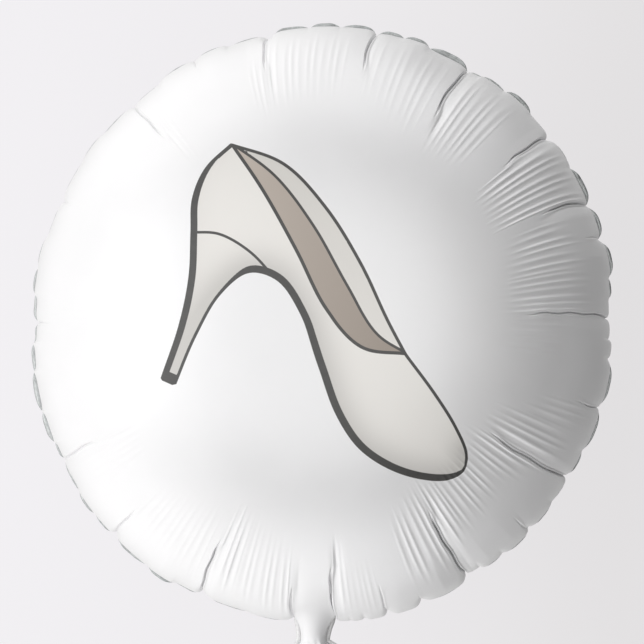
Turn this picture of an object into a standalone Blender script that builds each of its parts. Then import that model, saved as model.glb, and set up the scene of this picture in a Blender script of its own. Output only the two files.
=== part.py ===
"""A round foil party balloon, blown up and lying on its back.

Two round sheets of foil are welded together round their edge, with a neck for filling that ends in
a flat tail. Gas pushes the sheets apart, so their edge has to gather: long creases run in from the
seal, and between them the rim is scalloped by short folds. The whole envelope is one sealed piece.

Metres, +Z up. The origin is the centre of the small flat spot that the balloon lies on, the front
faces up and the neck points along -Y. Angles round the rim are counted anticlockwise from the neck.
"""

import math

import bmesh
import bpy
import numpy as np
from mathutils import Vector

# Envelope
BODY_WIDTH = 0.358
BODY_LENGTH = 0.3705
BODY_DEPTH = 0.205
LONG_AXIS_ANGLE = 163.0
REST_SPOT_RADIUS = 0.045

# Seal round the edge
SEAL_WIDTH = 0.003
SEAL_THICKNESS = 0.0015
SEAL_LEFT_AT_FOLD = 0.45

# Gathers: where each long crease meets the rim, in degrees, and the share of the radius where it starts
CREASES = (
    (14.3, 0.87),
    (31.5, 0.74),
    (59.5, 0.70),
    (74.6, 0.90),
    (92.3, 0.71),
    (115.3, 0.80),
    (130.6, 0.80),
    (151.1, 0.74),
    (170.5, 0.80),
    (191.7, 0.74),
    (207.1, 0.90),
    (222.2, 0.80),
    (245.8, 0.86),
    (270.9, 0.92),
    (298.9, 0.72),
    (316.5, 0.81),
    (337.2, 0.70),
)
CREASE_DEPTH = 0.0065
FULL_CREASE_RUN = 0.22
NECK_CREASE_START = 0.74
NECK_CREASE_DEPTH = 0.0035
FOLD_SPACING = 0.0200
FOLD_DEPTH = 0.0015
FOLD_START = 0.93
LOBE_CROWN = 0.0012
CROWN_START = 0.80

# Neck and tail
NECK_WIDTH = 0.0260
PINCH_REACH = 0.1970
PINCH_DIAMETER = 0.0155
TAIL_WIDTH = 0.0290
TAIL_THICKNESS = 0.0016
TAIL_LENGTH = 0.0420
FLATTENING_LENGTH = 0.0110

# Mesh fineness
BODY_RINGS = 12
LOBE_SPLITS = (0.28, 0.72)
NECK_COLUMNS = 8
RINGS_TOWARDS_RIM = 1.4
NECK_RINGS = 3
NECK_STEPS = 4
FLATTENING_STEPS = 3
PROFILE_SAMPLES = 400

FOIL_COLOUR = (0.90, 0.91, 0.92, 1.0)
FOIL_ROUGHNESS = 0.36
FOIL_METALLIC = 0.35
SHARP_ANGLE = 50.0

# Worked out from the sizes above
MEAN_RADIUS = (BODY_WIDTH + BODY_LENGTH) / 4 - SEAL_WIDTH
NECK_HALF_ANGLE = math.degrees(math.asin(NECK_WIDTH / (BODY_LENGTH - 2 * SEAL_WIDTH)))
CUSHION_HALF_DEPTH = (BODY_DEPTH - SEAL_THICKNESS) / 2


def foil_profile():
    """Shape of two inextensible sheets blown up: shares of unrolled length, radius and height, and slope."""
    root_slope = np.linspace(0, math.sqrt(math.pi / 2), PROFILE_SAMPLES + 1)
    middle = (root_slope[1:] + root_slope[:-1]) / 2
    sine_root = np.sqrt(np.sin(middle**2))
    run = np.concatenate(([0], np.cumsum(middle / sine_root)))
    drop = np.concatenate(([0], np.cumsum(middle * sine_root)))
    slope = root_slope**2
    return run / run[-1], np.sqrt(np.sin(slope)), 1 - drop / drop[-1], slope


RUN, RADIUS, HEIGHT, SLOPE = foil_profile()
SPOT_SHARE = float(np.interp(REST_SPOT_RADIUS / MEAN_RADIUS, RADIUS, RUN))
RING_SHARES = [0.0] + list(1 - (1 - SPOT_SHARE) * np.linspace(1, 0, BODY_RINGS) ** RINGS_TOWARDS_RIM)
MID_HEIGHT = SEAL_THICKNESS / 2 + CUSHION_HALF_DEPTH * float(np.interp(SPOT_SHARE, RUN, HEIGHT))

# Rows of the mesh, from the front's middle over the seal to the back's middle
FRONT_SEAM_ROW = BODY_RINGS
BACK_SEAM_ROW = BODY_RINGS + 3
LAST_ROW = 2 * BODY_RINGS + 3


def ease(share):
    """Smooth rise from 0 to 1."""
    share = min(max(share, 0.0), 1.0)
    return share * share * (3 - 2 * share)


def seam_radius(angle):
    """Inner edge of the seal: slightly longer one way, because the neck's end stretches."""
    swing = (BODY_LENGTH - BODY_WIDTH) / 4
    return MEAN_RADIUS + swing * math.cos(math.radians(2 * (angle - LONG_AXIS_ANGLE)))


def crease_depth(start):
    """Depth at the rim of a crease that starts at a share of the radius: a short one is shallower."""
    return CREASE_DEPTH * min(1.0, (1 - start) / FULL_CREASE_RUN)


def rim_columns():
    """Columns of the mesh round the rim, each an angle, a fold's depth and start, and a share of crown."""
    beside_neck = (NECK_CREASE_DEPTH, NECK_CREASE_START, 0.0)
    columns = [(-NECK_HALF_ANGLE, *beside_neck)]
    for step in range(1, NECK_COLUMNS):
        columns.append((NECK_HALF_ANGLE * (2 * step / NECK_COLUMNS - 1), 0.0, 0.0, 0.0))
    columns.append((NECK_HALF_ANGLE, *beside_neck))
    here = NECK_HALF_ANGLE
    for there, start in CREASES + ((360 - NECK_HALF_ANGLE, NECK_CREASE_START),):
        bay_length = math.radians(there - here) * seam_radius((here + there) / 2)
        lobes = max(1, round(bay_length / FOLD_SPACING))
        for lobe in range(lobes):
            lobe_start = here + (there - here) * lobe / lobes
            lobe_angle = (there - here) / lobes
            for split in LOBE_SPLITS:
                columns.append((lobe_start + lobe_angle * split, 0.0, 0.0, math.sin(math.pi * split)))
            if lobe < lobes - 1:
                columns.append((lobe_start + lobe_angle, FOLD_DEPTH, FOLD_START, 0.0))
        columns.append((there, crease_depth(start), start, 0.0))
        here = there
    return columns[:-1]


COLUMNS = rim_columns()


def towards(angle):
    """Unit vector in the floor's plane at an angle from the neck."""
    return Vector((math.sin(math.radians(angle)), -math.cos(math.radians(angle)), 0))


def envelope_point(row, column):
    """A vertex of the blown-up envelope, with the seal's rim as rows between the two seams."""
    angle, depth, start, crown = COLUMNS[column]
    front = row <= FRONT_SEAM_ROW + 1
    ring = min(row if front else LAST_ROW - row, BODY_RINGS)
    share = RING_SHARES[ring]
    radius_share = float(np.interp(share, RUN, RADIUS))
    height = float(np.interp(share, RUN, HEIGHT))
    slope = float(np.interp(share, RUN, SLOPE))
    offset = crown * LOBE_CROWN * ease((radius_share - CROWN_START) / (1 - CROWN_START))
    offset -= depth * ease((radius_share - start) / (1 - start))
    radius = seam_radius(angle) * radius_share + offset * math.sin(slope)
    height = SEAL_THICKNESS / 2 + CUSHION_HALF_DEPTH * height + offset * math.cos(slope)
    if ring == 0 and not front:
        height = MID_HEIGHT
    if FRONT_SEAM_ROW < row < BACK_SEAM_ROW:
        radius += SEAL_WIDTH * (SEAL_LEFT_AT_FOLD + (1 - SEAL_LEFT_AT_FOLD) * crown)
    return towards(angle) * radius + Vector((0, 0, MID_HEIGHT + (height if front else -height)))


def section_point(across, up, half_width, half_height, squareness):
    """A point of a neck section: an ellipse that turns into a rectangle as squareness goes to 1."""
    reach = max(abs(across), abs(up))
    turn = math.atan2(up, across)
    oval = Vector((math.cos(turn), math.sin(turn))) * reach
    flat = oval.lerp(Vector((across, up)), squareness)
    return flat.x * half_width, flat.y * half_height


def neck_sections():
    """Sections beyond the pinch: distance from it, half width, half height and squareness."""
    sections = []
    for step in range(1, FLATTENING_STEPS + 1):
        share = step / FLATTENING_STEPS
        half_width = PINCH_DIAMETER / 2 + (TAIL_WIDTH - PINCH_DIAMETER) / 2 * math.sin(math.pi / 2 * share)
        half_height = PINCH_DIAMETER / 2 + (TAIL_THICKNESS - PINCH_DIAMETER) / 2 * ease(share)
        sections.append((FLATTENING_LENGTH * share, half_width, half_height, share))
    sections.append((FLATTENING_LENGTH + TAIL_LENGTH, TAIL_WIDTH / 2, TAIL_THICKNESS / 2, 1.0))
    return sections


def neck_place(row, column):
    """Where a vertex of the neck's patch lies in its section: across and up, each from -1 to 1."""
    middle_row = (FRONT_SEAM_ROW + BACK_SEAM_ROW) / 2
    return 2 * column / NECK_COLUMNS - 1, (middle_row - row) / (middle_row - FRONT_SEAM_ROW + NECK_RINGS)


def neck_point(row, column, step):
    """A vertex of the neck: it leaves the envelope smoothly and draws in to the round pinch."""
    across, up = neck_place(row, column)
    start = envelope_point(row, column)
    x, z = section_point(across, up, PINCH_DIAMETER / 2, PINCH_DIAMETER / 2, 0.0)
    end = Vector((x, -PINCH_REACH, MID_HEIGHT + z))
    share = step / NECK_STEPS
    pull = (end - start).length
    edge_slope = float(np.interp(RING_SHARES[BODY_RINGS - NECK_RINGS], RUN, SLOPE)) * up
    leave = Vector((0, -math.cos(edge_slope), -math.sin(edge_slope))) * pull
    arrive = Vector((0, -pull, 0))
    square, cube = share * share, share * share * share
    point = start * (2 * cube - 3 * square + 1) + leave * (cube - 2 * square + share)
    return point + end * (3 * square - 2 * cube) + arrive * (cube - square)


def tail_point(row, column, section):
    """A vertex of the neck beyond the pinch, where it flattens into the tail."""
    distance, half_width, half_height, squareness = section
    x, z = section_point(*neck_place(row, column), half_width, half_height, squareness)
    return Vector((x, -PINCH_REACH - distance, MID_HEIGHT + z))


def draw_out(bm, faces, row_layer, column_layer, place, stage):
    """Extrude the neck's patch of faces once, put its vertices in place and open the way behind it."""
    drawn = bmesh.ops.extrude_face_region(bm, geom=faces)["geom"]
    bmesh.ops.delete(bm, geom=faces, context="FACES")
    for vert in drawn:
        if isinstance(vert, bmesh.types.BMVert):
            vert.co = place(vert[row_layer], vert[column_layer], stage)
    return [face for face in drawn if isinstance(face, bmesh.types.BMFace)]


def make_envelope(collection, material):
    """The whole envelope, from a sphere's grid of rows and columns, with the neck drawn out of its rim."""
    bm = bmesh.new()
    row_layer = bm.verts.layers.int.new("row")
    column_layer = bm.verts.layers.int.new("column")
    bmesh.ops.create_uvsphere(bm, u_segments=len(COLUMNS), v_segments=LAST_ROW, radius=1)
    for vert in bm.verts:
        turn = math.atan2(vert.co.y, vert.co.x) / (2 * math.pi)
        vert[column_layer] = round(turn * len(COLUMNS)) % len(COLUMNS)
        vert[row_layer] = round(math.acos(max(-1, min(1, vert.co.z))) / math.pi * LAST_ROW)
    neck_rows = (FRONT_SEAM_ROW - NECK_RINGS, BACK_SEAM_ROW + NECK_RINGS)
    patch = []
    for face in bm.faces:
        rows = [vert[row_layer] for vert in face.verts]
        columns = [vert[column_layer] for vert in face.verts]
        if min(rows) >= neck_rows[0] and max(rows) <= neck_rows[1] and max(columns) <= NECK_COLUMNS:
            patch.append(face)
    for vert in bm.verts:
        vert.co = envelope_point(vert[row_layer], vert[column_layer])
    for step in range(1, NECK_STEPS + 1):
        patch = draw_out(bm, patch, row_layer, column_layer, neck_point, step)
    for section in neck_sections():
        patch = draw_out(bm, patch, row_layer, column_layer, tail_point, section)
    bmesh.ops.triangulate(bm, faces=bm.faces)
    bmesh.ops.recalc_face_normals(bm, faces=bm.faces)
    mesh = bpy.data.meshes.new("foil_balloon")
    bm.to_mesh(mesh)
    bm.free()
    mesh.shade_smooth()
    mesh.set_sharp_from_angle(angle=math.radians(SHARP_ANGLE))
    mesh.materials.append(material)
    balloon = bpy.data.objects.new("foil_balloon", mesh)
    collection.objects.link(balloon)
    return balloon


def make_foil():
    """Pearl white foil."""
    material = bpy.data.materials.new("pearl_foil")
    material.use_nodes = True
    shader = material.node_tree.nodes["Principled BSDF"]
    shader.inputs["Base Color"].default_value = FOIL_COLOUR
    shader.inputs["Roughness"].default_value = FOIL_ROUGHNESS
    shader.inputs["Metallic"].default_value = FOIL_METALLIC
    return material


def main():
    for old in list(bpy.data.objects):
        bpy.data.objects.remove(old)
    collection = bpy.data.collections.new("foil_balloon")
    bpy.context.scene.collection.children.link(collection)
    make_envelope(collection, make_foil())


main()
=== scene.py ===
"""The looks of a round foil party balloon with a printed high heel, lying on its back.

The balloon is two sheets of thin foil welded together at the edge. Each sheet is one mesh whose
vertices follow the shape that an inextensible disc takes when it is blown up, with the gathers of
its rim added along the surface's normal: long creases, short folds, and the fine flutes that run
from them towards the middle. The print is drawn from its own outlines, as distances on the sheet.

Metres, +Z up. Angles round the rim are counted anticlockwise from the neck, which points along -Y.
"""

import math

import bpy
import numpy as np
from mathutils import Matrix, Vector


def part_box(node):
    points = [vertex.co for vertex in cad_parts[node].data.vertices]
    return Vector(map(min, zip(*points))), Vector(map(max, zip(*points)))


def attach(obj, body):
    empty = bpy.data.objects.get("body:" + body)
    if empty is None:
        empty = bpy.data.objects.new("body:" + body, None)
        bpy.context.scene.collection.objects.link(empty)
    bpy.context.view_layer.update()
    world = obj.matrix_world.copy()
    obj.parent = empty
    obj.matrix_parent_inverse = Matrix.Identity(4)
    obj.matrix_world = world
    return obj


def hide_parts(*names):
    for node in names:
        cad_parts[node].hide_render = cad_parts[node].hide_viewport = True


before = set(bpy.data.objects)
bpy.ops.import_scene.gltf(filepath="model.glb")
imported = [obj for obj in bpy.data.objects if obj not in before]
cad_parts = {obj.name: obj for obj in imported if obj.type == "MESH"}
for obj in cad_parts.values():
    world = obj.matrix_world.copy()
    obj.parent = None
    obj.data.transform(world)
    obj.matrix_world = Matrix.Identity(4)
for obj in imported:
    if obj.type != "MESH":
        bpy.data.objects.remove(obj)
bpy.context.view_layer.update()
_, BODY_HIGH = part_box("foil_balloon")

# Sizes that the solids were made with
BODY_WIDTH = 0.358
BODY_LENGTH = 0.3705
LONG_AXIS_ANGLE = 163.0
SEAL_WIDTH = 0.003
SEAL_THICKNESS = 0.0015
REST_SPOT_RADIUS = 0.045
NECK_WIDTH = 0.0260
PINCH_REACH = 0.1970
TAIL_WIDTH = 0.0290

# Finer sizes of the real foil
FOIL_THICKNESS = 0.00028
SHEET_GAP = 0.00012
FLOOR_GAP = 0.0002
CREST_RISE = 0.0042
PINCH_RADIUS = 0.0076
PINCH_SHIFT = -0.0014
FLATTENING_LENGTH = 0.0070
TAIL_SHIFT = 0.0032
TAIL_LENGTH = 0.0460
TAIL_SEAL_WIDTH = 0.0030
TAIL_END_SEAL_WIDTH = 0.0004
TAIL_HALF_THICKNESS = 0.0005
LEAST_SEAL_WIDTH = 0.0002
NECK_SIDE = math.degrees(math.asin(NECK_WIDTH / (BODY_LENGTH - 2 * SEAL_WIDTH)))

# The printed shoe, drawn from the side in units of PRINT_SCALE mm, its heel at the left and its toe at the
# right. Its tilt is in degrees, its centre on the flat sheet in mm and its reach in metres
PRINT_SCALE = 22.0
PRINT_TILT = 20.0
PRINT_CENTRE = (8.0, 4.0)
PRINT_REACH = 0.145
SHOE_MIDDLE = (5.4, 3.3)
BACK_LINE = ((0.95, 6.75), (0.52, 5.85), (0.50, 4.95), (0.82, 4.05), (1.22, 2.9), (1.47, 1.5), (1.54, 0.0))
HEEL_TIP = ((1.54, 0.0), (2.02, 0.0))
UNDER_LINE = (
    (2.02, 0.0), (2.05, 1.5), (2.24, 2.75), (2.75, 3.58), (3.55, 3.66), (4.45, 3.05), (5.4, 1.95),
    (6.3, 0.92), (7.2, 0.28), (8.2, 0.02), (9.2, 0.04), (9.95, 0.26), (10.28, 0.62), (10.2, 1.1),
)
TOE = ((9.6, 1.72), (8.7, 2.38), (7.55, 3.1))
FAR_TOPLINE = ((7.55, 3.1), (6.75, 3.78), (5.5, 4.9), (4.1, 5.95), (2.6, 6.68), (0.95, 6.75))
NEAR_TOPLINE = ((0.95, 6.75), (2.3, 5.8), (3.75, 4.6), (5.1, 3.4), (6.35, 2.82), (7.55, 3.1))
INSOLE_LINE = ((0.95, 6.75), (2.5, 6.25), (3.95, 5.35), (5.35, 4.2), (6.6, 3.3), (7.55, 3.1))
HEEL_SEAM = ((0.82, 4.05), (1.6, 4.28), (2.6, 4.12), (3.55, 3.66))
HEEL_PART_OF_BACK = 3
HEEL_PART_OF_UNDER = 5
HEEL_CAP = 0.30
HEEL_CAP_END = 3.0
SHOE_LENGTH = 10.0

# Ink and shade of the print in mm: the outline and what it gains under the shoe and down its back, the
# inner lines, how far shade reaches, the soft edge, and the distance given to places off the print
EDGE_INK = 1.9
UNDER_INK = 2.5
TOPLINE_INK = 2.0
INNER_INK = 1.6
SHADE_REACH = 13.0
PRINT_EDGE = 0.13
FAR_OUTSIDE = -20.0

# Shares: what every stretch of the outline has of that gain, what it gains by running down or loses by
# running up, and how strong the shade along the back line is
UNDER_INK_BASE = 0.25
UNDER_INK_FALLING = 0.6
BACK_SHADE = 0.5

# The long gathers, anticlockwise from the neck's right side. For each: angle at the rim, share of the
# radius where it starts, its drift on the way in, in degrees, depth in mm, the side that stays level up to
# it (1 is the one with the greater angles), and the share of the radius from which the foil closes to a
# slit, with how dark the shade painted into that slit is.
GATHERS = (
    (NECK_SIDE, 0.68, -0.9, 3.6, -1, 0.86, 0.45),
    (14.3, 0.87, -1.2, 1.4, -1, 0.94, 0.3),
    (21.2, 0.90, -1.1, 0.5, -1, 1.0, 0.0),
    (31.5, 0.66, -0.7, 3.6, -1, 0.78, 0.9),
    (46.6, 0.88, -1.2, 1.5, -1, 0.975, 0.3),
    (59.5, 0.66, -1.0, 3.6, -1, 0.74, 0.65),
    (74.6, 0.88, 0.0, 2.2, -1, 0.955, 0.6),
    (92.3, 0.71, 1.7, 3.0, 1, 0.74, 0.65),
    (108.2, 0.90, 2.9, 1.4, 1, 0.985, 0.3),
    (115.3, 0.78, 3.4, 3.4, 1, 0.88, 0.85),
    (130.6, 0.80, 2.0, 3.4, 1, 0.86, 0.85),
    (151.1, 0.69, 2.1, 4.0, 1, 0.84, 0.85),
    (170.5, 0.79, 2.3, 3.2, 1, 0.91, 0.7),
    (191.7, 0.74, 3.4, 2.2, 1, 0.92, 0.3),
    (207.1, 0.90, 1.1, 1.0, 1, 1.0, 0.0),
    (222.2, 0.71, -0.9, 1.5, 1, 0.88, 0.35),
    (245.8, 0.86, 0.0, 0.9, 1, 1.0, 0.0),
    (270.9, 0.93, 0.0, 1.0, 1, 0.98, 0.2),
    (298.9, 0.71, -0.6, 1.6, -1, 0.90, 0.4),
    (316.5, 0.78, -0.6, 1.4, -1, 0.92, 0.3),
    (337.2, 0.68, -1.3, 2.7, -1, 0.84, 0.8),
    (360 - NECK_SIDE, 0.74, -1.9, 2.1, -1, 0.93, 0.25),
)

# The fluted stretches between them. For each: from and to which angle, the shares of the radius where the
# flutes start at both ends, where they have run out at both ends, their height in mm and spacing in degrees.
FLUTES = (
    (NECK_SIDE, 8.0, 0.65, 0.72, 0.99, 0.99, 0.26, 1.5),
    (8.0, 14.3, 0.76, 0.77, 1.00, 1.00, 0.09, 1.2),
    (20.5, 31.5, 0.66, 0.57, 0.94, 0.94, 0.20, 1.75),
    (31.5, 37.0, 0.58, 0.59, 0.90, 0.87, 0.25, 1.8),
    (36.1, 54.1, 0.59, 0.59, 0.87, 0.81, 0.17, 1.75),
    (52.3, 59.5, 0.58, 0.57, 0.84, 0.92, 0.27, 1.75),
    (59.5, 68.5, 0.60, 0.64, 0.94, 0.94, 0.34, 1.8),
    (67.5, 74.6, 0.70, 0.76, 0.94, 0.97, 0.24, 1.75),
    (82.5, 92.3, 0.57, 0.57, 0.84, 0.86, 0.24, 1.6),
    (92.3, 102.3, 0.57, 0.59, 0.93, 0.93, 0.46, 1.75),
    (101.3, 113.5, 0.59, 0.66, 0.93, 0.90, 0.36, 1.75),
    (115.3, 130.6, 0.62, 0.64, 1.00, 1.00, 0.34, 1.75),
    (138.0, 151.1, 0.65, 0.63, 0.98, 0.98, 0.17, 1.65),
    (153.4, 170.5, 0.64, 0.74, 0.99, 0.99, 0.11, 1.9),
    (174.0, 191.7, 0.74, 0.69, 0.98, 0.98, 0.16, 1.6),
    (191.7, 196.5, 0.67, 0.71, 0.93, 0.93, 0.16, 1.6),
    (217.5, 222.2, 0.68, 0.65, 0.93, 0.93, 0.20, 1.6),
    (267.0, 270.5, 0.74, 0.74, 0.94, 0.94, 0.12, 1.75),
    (298.9, 309.0, 0.66, 0.69, 0.95, 0.95, 0.14, 1.7),
    (316.5, 335.5, 0.70, 0.66, 0.95, 0.95, 0.16, 1.75),
    (337.2, 344.0, 0.61, 0.64, 0.95, 0.95, 0.46, 1.75),
    (343.0, 360 - NECK_SIDE, 0.64, 0.70, 0.96, 0.99, 0.24, 1.7),
)

# The rim's lobes from the neck's right side round. For each: angle of the fold that it starts at, and in
# mm from the even rim line how deep that fold cuts, how high the lobe stands, and how wide its seal shows.
LOBES = (
    (NECK_SIDE, 3.7, -0.6, 0.3),
    (6.8, 1.4, 0.0, 0.3),
    (9.5, 1.7, 0.6, 0.3),
    (14.3, 3.9, 1.2, 0.4),
    (21.2, 3.8, 1.0, 0.7),
    (31.5, 5.4, -3.1, 0.3),
    (34.3, 3.8, -0.2, 0.8),
    (39.6, 1.9, 1.3, 1.0),
    (46.9, 2.4, 0.9, 0.9),
    (53.7, 1.3, -0.2, 0.6),
    (59.5, 3.7, 0.4, 1.4),
    (65.4, 1.3, 2.0, 1.7),
    (74.6, 1.8, 2.4, 1.9),
    (84.4, 2.6, -0.4, 0.4),
    (88.3, 3.3, -2.1, 0.4),
    (92.3, 5.1, -2.8, 0.4),
    (96.4, 2.8, -0.4, 1.6),
    (100.5, 1.6, 2.7, 2.6),
    (108.2, 3.9, 1.4, 2.7),
    (115.3, 3.6, 1.3, 3.3),
    (123.6, 2.3, -0.5, 0.7),
    (130.6, 5.3, -1.5, 0.4),
    (136.5, 1.7, 1.8, 2.8),
    (143.2, 2.4, -0.8, 1.6),
    (148.5, 3.0, -3.1, 1.0),
    (151.1, 6.0, 0.1, 3.6),
    (160.1, 2.5, 1.0, 2.2),
    (165.3, 1.8, 0.5, 2.5),
    (170.5, 3.6, 1.2, 2.2),
    (177.7, 1.5, 1.5, 2.4),
    (183.8, 1.6, 0.7, 2.0),
    (191.7, 6.3, -1.3, 0.8),
    (200.0, 2.2, 0.5, 0.8),
    (207.1, 2.0, 0.3, 0.8),
    (215.5, 2.0, -1.9, 0.6),
    (222.2, 3.8, -0.8, 0.8),
    (230.5, 0.9, 0.7, 0.8),
    (237.0, 0.6, -0.2, 0.6),
    (245.8, 3.2, -0.8, 0.6),
    (253.9, 0.7, 1.1, 0.9),
    (260.0, 0.2, 1.2, 1.8),
    (265.3, 1.0, -0.8, 2.2),
    (270.9, 4.9, -2.2, 1.4),
    (275.1, 1.0, 0.6, 2.7),
    (280.6, 0.0, 2.2, 3.4),
    (288.6, 0.2, 1.5, 3.2),
    (295.0, 1.2, -0.9, 1.7),
    (298.9, 3.4, -0.6, 1.4),
    (305.7, 1.0, 1.0, 1.8),
    (311.1, 0.9, 0.3, 1.3),
    (316.5, 4.0, 0.7, 1.6),
    (325.4, 1.0, 1.6, 2.0),
    (331.5, 1.7, -1.4, 1.0),
    (337.2, 5.8, -1.7, 0.8),
    (347.1, 2.0, -0.6, 0.6),
    (360 - NECK_SIDE, 4.1, 0.0, 0.6),
)

# Shape of one crease, lobe and flute
SLIT_HALF_WIDTH = 0.00091
SLIT_HALF_WIDTH_INNER = 0.00063
SLIT_SHARPNESS = 1.2
SLIT_RISE = 0.06
SLIT_FALL_START = 0.96
SLIT_FALL = 0.04
SLIT_LEFT_AT_RIM = 0.35
VALLEY_SHARE = 0.40
VALLEY_RISE = 0.13
VALLEY_OFFSET = 0.0032
VALLEY_OFFSET_LOST = 0.5
VALLEY_HALF_WIDTH = 0.0070
WALL_WIDTH = 0.0022
WALL_WIDTH_INNER = 0.0050
LEAN_SHARE = 0.42
LEAN_HALF_WIDTH = 0.0045
DRIFT_REACH = 0.12
WANDER = 0.0004
WANDER_RATE = 60
WANDER_RATE_SPREAD = 9
WANDER_PHASE = 2.4
WANDER_RISE = 0.03
BACK_START_SPREAD = 0.03
LEAST_RADIUS_SHARE = 0.2
PILLOW_START = 0.80
FOLD_START = 0.955
# How deep a lobe's fold cuts before its painted shade is full, and how dark that painted shade is
FOLD_FULL_SHADE_DEPTH = 0.003
FOLD_PAINTED_SHADE = 0.4
LOBE_SQUARENESS = 3.0
PILLOW_SQUARENESS = 4.5
FLUTE_STRENGTH = 0.85
FLUTE_SHARPNESS = 0.22
FLUTE_RISE = 0.15
FLUTE_FALL = 0.11
FLUTE_EDGE = 0.7

# What makes the flutes unequal: each a sine's size, and its turn in radians from one flute to the next and
# from one stretch to the next
FLUTE_PLACES = (0.09, 2.3, 1.0)
FLUTE_HEIGHTS = (0.22, 2.1, 1.7)
FLUTE_ENDS = (0.014, 2.6, 1.0)
FLUTE_FINE_ENDS = (0.010, 5.3, 2.0)

# Shape of the neck, the tail and the seal. The headings are the front sheet's, at its right edge and middle
NECK_HEADING_REACH = 0.7
NECK_EDGE_HEADING = (-0.75, -0.65, 0.0)
NECK_BLEND_SHARE = 0.6
NECK_GIVE = 1.4
PINCH_HEADING = (0.0, -0.80, -0.60)
FLATTENING_POWER = 1.6
WRINKLE_HEIGHT = 0.0006
WRINKLE_HALF_WAVES = 5.5
WRINKLE_PHASE = 0.6
WRINKLE_POWER = 0.8
RIPPLE_HEIGHT = 0.0010
RIPPLE_RATE = 110
RIPPLE_LEAN = 0.4
SEAL_SECTION = ((0.0, 0.5), (0.5, 0.7), (1.0, 0.5))
CRACKLE_WAVELENGTHS = (0.0213, 0.0089, 0.0047, 0.0026)
CRACKLE_SHARE = 0.024
CRACKLE_PHASE = 1.9
CRACKLE_DRIFT = 2
CRACKLE_DRIFT_RATE = 61

# Camera: metres above the seal, width of the view there, place, turn, sensor width in mm and far limit
CAMERA_HEIGHT = 1.8
VIEW_WIDTH = 0.4005
CAMERA_OFFSET = (-0.000345, 0.001547)
CAMERA_TURN = 1.3
SENSOR_WIDTH = 36.0
FARTHEST_SEEN = 50.0

# Light: name, place, size, power and colour of each soft light; the floor's glow, which is painted light
# that fades from the left to the right as the soft light falls, as shares across it and colours, its two
# ends first; the surrounding's even strength, and where it is brighter: towards, narrowness, strength
LIGHTS = (
    ("left", (-1.7, 0.0, 1.8), 2.0, 16.1, (1.0, 1.0, 1.0)),
    ("top", (0.9, 2.2, 0.9), 1.8, 5.6, (0.98, 0.99, 1.0)),
    ("bottom", (0.5, -2.3, 0.9), 1.8, 5.3, (0.98, 0.99, 1.0)),
    ("overhead", (0.0, 0.0, 3.0), 2.4, 18.7, (1.0, 1.0, 1.0)),
    ("overhead_right", (1.0, 0.0, 2.6), 2.4, 5.0, (1.0, 0.985, 0.93)),
)
LIT_POINT = (0, 0, 0.1)
FLOOR_HALF_WIDTH = 4.0
FLOOR_GREY = 0.08
GLOW_HALF_WIDTH = 0.20
FLOOR_PAINTED_LIGHT = (
    (0.0, (0.816, 0.800, 0.824, 1.0)),
    (1.0, (0.705, 0.690, 0.698, 1.0)),
    (0.25, (0.796, 0.781, 0.803, 1.0)),
    (0.5, (0.792, 0.776, 0.795, 1.0)),
    (0.8, (0.744, 0.729, 0.741, 1.0)),
)
SURROUNDING_COLOUR = (1.0, 0.994, 0.985, 1.0)
SURROUNDING_STRENGTH = 0.043
SURROUNDING_SIDES = (
    ((-0.7071, 0.7071, 0.0), 2.0, 0.990),
    ((-0.7071, -0.7071, 0.0), 2.0, 1.065),
    ((0.0, 1.0, 0.0), 2.0, 0.583),
    ((0.0, -1.0, 0.0), 2.0, 0.452),
    ((0.0, 0.0, -1.0), 2.0, 0.613),
)

# Colours
FRONT_FOIL = (0.890, 0.888, 0.900, 1.0)
BACK_FOIL = (0.870, 0.870, 0.880, 1.0)
# Painted shade in the closed slits and cut folds of the creases
PAINTED_SLIT_SHADE = (0.16, 0.17, 0.17, 1.0)
IVORY = (0.86, 0.84, 0.81, 1.0)
SHADED_IVORY = (0.55, 0.535, 0.515, 1.0)
INSOLE_COLOURS = ((0.50, 0.44, 0.39, 1.0), (0.34, 0.29, 0.25, 1.0))
FAR_SIDE_COLOURS = ((0.66, 0.64, 0.61, 1.0), (0.80, 0.78, 0.75, 1.0))
INK_COLOURS = ((0.030, 0.029, 0.028, 1.0), (0.042, 0.040, 0.038, 1.0))
SEAL_COLOURS = ((0.46, 0.48, 0.48, 1.0), (0.56, 0.585, 0.585, 1.0))
SEAL_GREY = 0.60
NECK_SEAL_GREYS = (0.72, 0.88)

# Mesh fineness: how many columns and rings the sheets have, out to which share of the unrolled radius the
# rings are even, below which radius columns thin out, and how often the neck and the seal are smoothed
RIM_COLUMNS = 1888
NECK_COLUMNS = 36
CREASE_CLUSTERING = 0.40
INNER_SHARE = 0.50
INNER_RING_STEP = 0.0026
BACK_INNER_RING_STEP = 0.0078
OUTER_RINGS = 41
BACK_OUTER_RINGS = 33
RING_GRADING = 0.28
THINNING_RADIUS = 0.210
WIDEST_COLUMN_STEP = 16
NECK_START_SHARE = 0.72
NECK_END_ROWS = 12
FLATTENING_ROWS = 12
TAIL_ROWS = 15
NECK_SMOOTHING = 30
SEAL_TURN_SMOOTHING = 12
SEAL_TURN_COLUMNS = 6
SEAL_WIDTH_SMOOTHING = 6
SEAL_WIDTH_COLUMNS = 8
PROFILE_SAMPLES = 2000


def ease(share):
    """Smooth rise from 0 to 1, for a number or an array."""
    share = np.clip(share, 0.0, 1.0)
    return share * share * (3 - 2 * share)


def foil_profile():
    """Unrolled length, radius, height and slope of an inextensible sheet blown up to a radius of 1, from its
    middle out, with the height as a share."""
    root_slope = np.linspace(0, math.sqrt(math.pi / 2), PROFILE_SAMPLES + 1)
    middle = (root_slope[1:] + root_slope[:-1]) / 2
    sine_root = np.sqrt(np.sin(middle**2))
    step = root_slope[1]
    run = np.concatenate(([0], np.cumsum(middle / sine_root))) * step
    drop = np.concatenate(([0], np.cumsum(middle * sine_root)))
    slope = root_slope**2
    return run, np.sqrt(np.sin(slope)), 1 - drop / drop[-1], slope


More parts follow.
